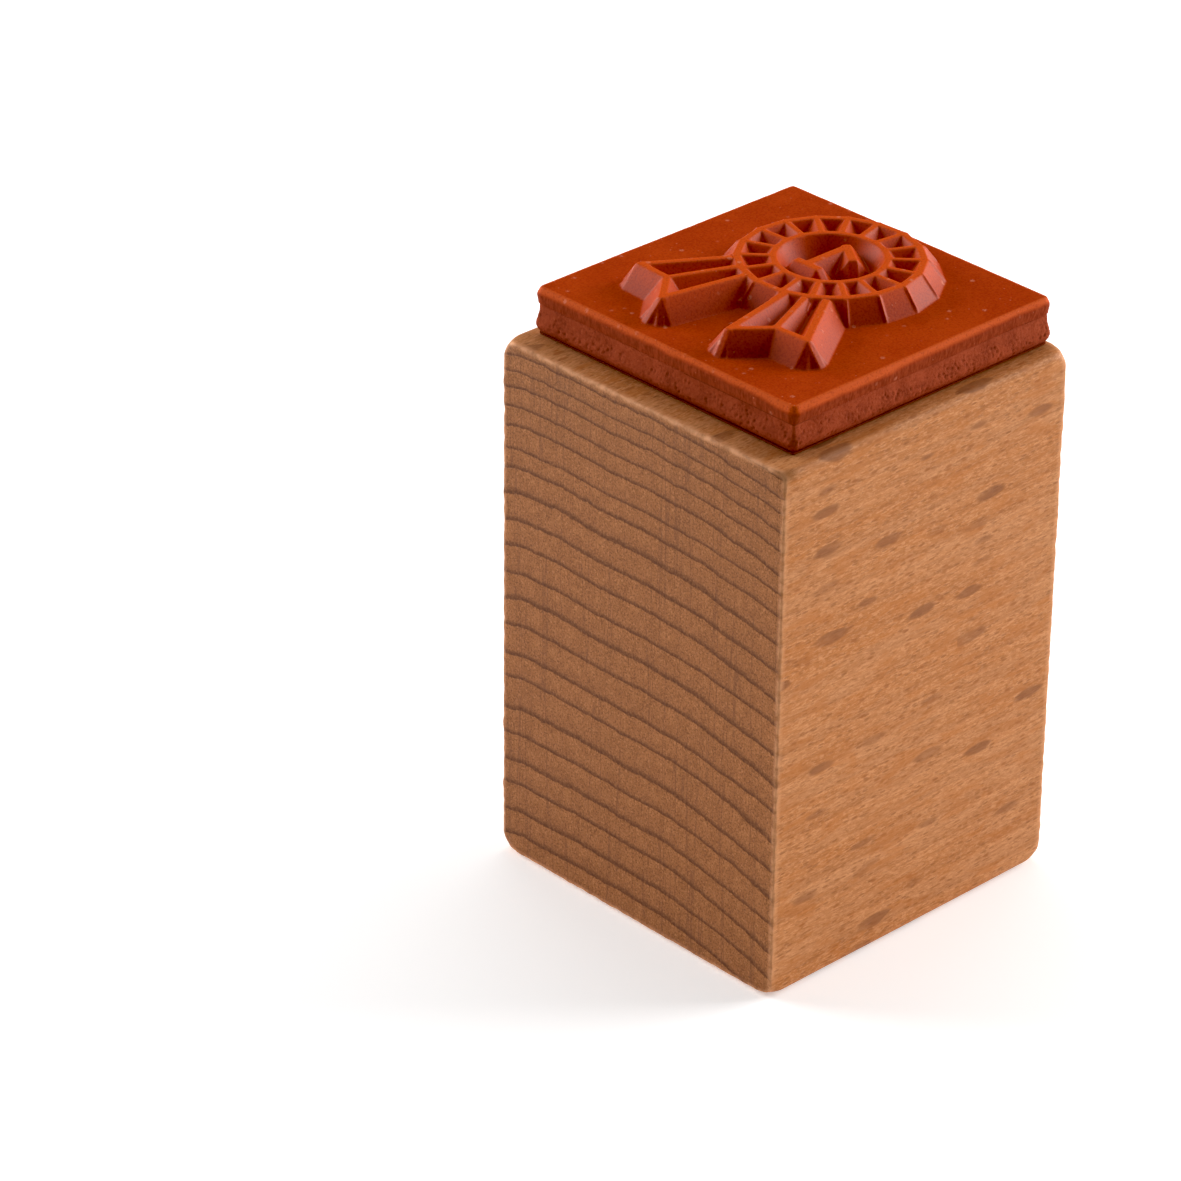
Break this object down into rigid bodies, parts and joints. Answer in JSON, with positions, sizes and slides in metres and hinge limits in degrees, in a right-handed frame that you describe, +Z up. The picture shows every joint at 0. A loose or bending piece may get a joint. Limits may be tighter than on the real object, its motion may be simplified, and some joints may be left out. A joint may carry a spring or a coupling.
{
  "type": "rubber stamp",
  "caption": "Wood-mounted rubber stamp: a beech block with a sponge cushion and a red moulded rubber die showing a raised prize rosette with ribbon tails, standing die up.",
  "frame": {"origin": "centre of the index label's underside, which the stamp stands on", "axes": "+Z up through the block to the printing face, +X along the wood grain, which is the top of the printed picture"},
  "size_m": [0.0202, 0.02, 0.034],
  "materials": {
    "beech": "sanded, unvarnished",
    "label_film": "clear printed film",
    "adhesive_film": "translucent",
    "sponge_rubber": "open knife-cut sponge",
    "red_rubber": "satin, moulded"
  },
  "bodies": {
    "block": {"wood_block": "beech", "index_label": "label_film", "mount_adhesive": "adhesive_film", "foam_cushion": "sponge_rubber"},
    "die": {"die_adhesive": "adhesive_film", "rubber_die": "red_rubber"}
  },
  "joints": [
    {"name": "die_press", "type": "slide", "parent": "block", "child": "die", "axis": [0, 0, -1], "range_m": [0, 0.0006], "stiffness_N_per_m": 20000, "deforming": ["foam_cushion"]}
  ]
}
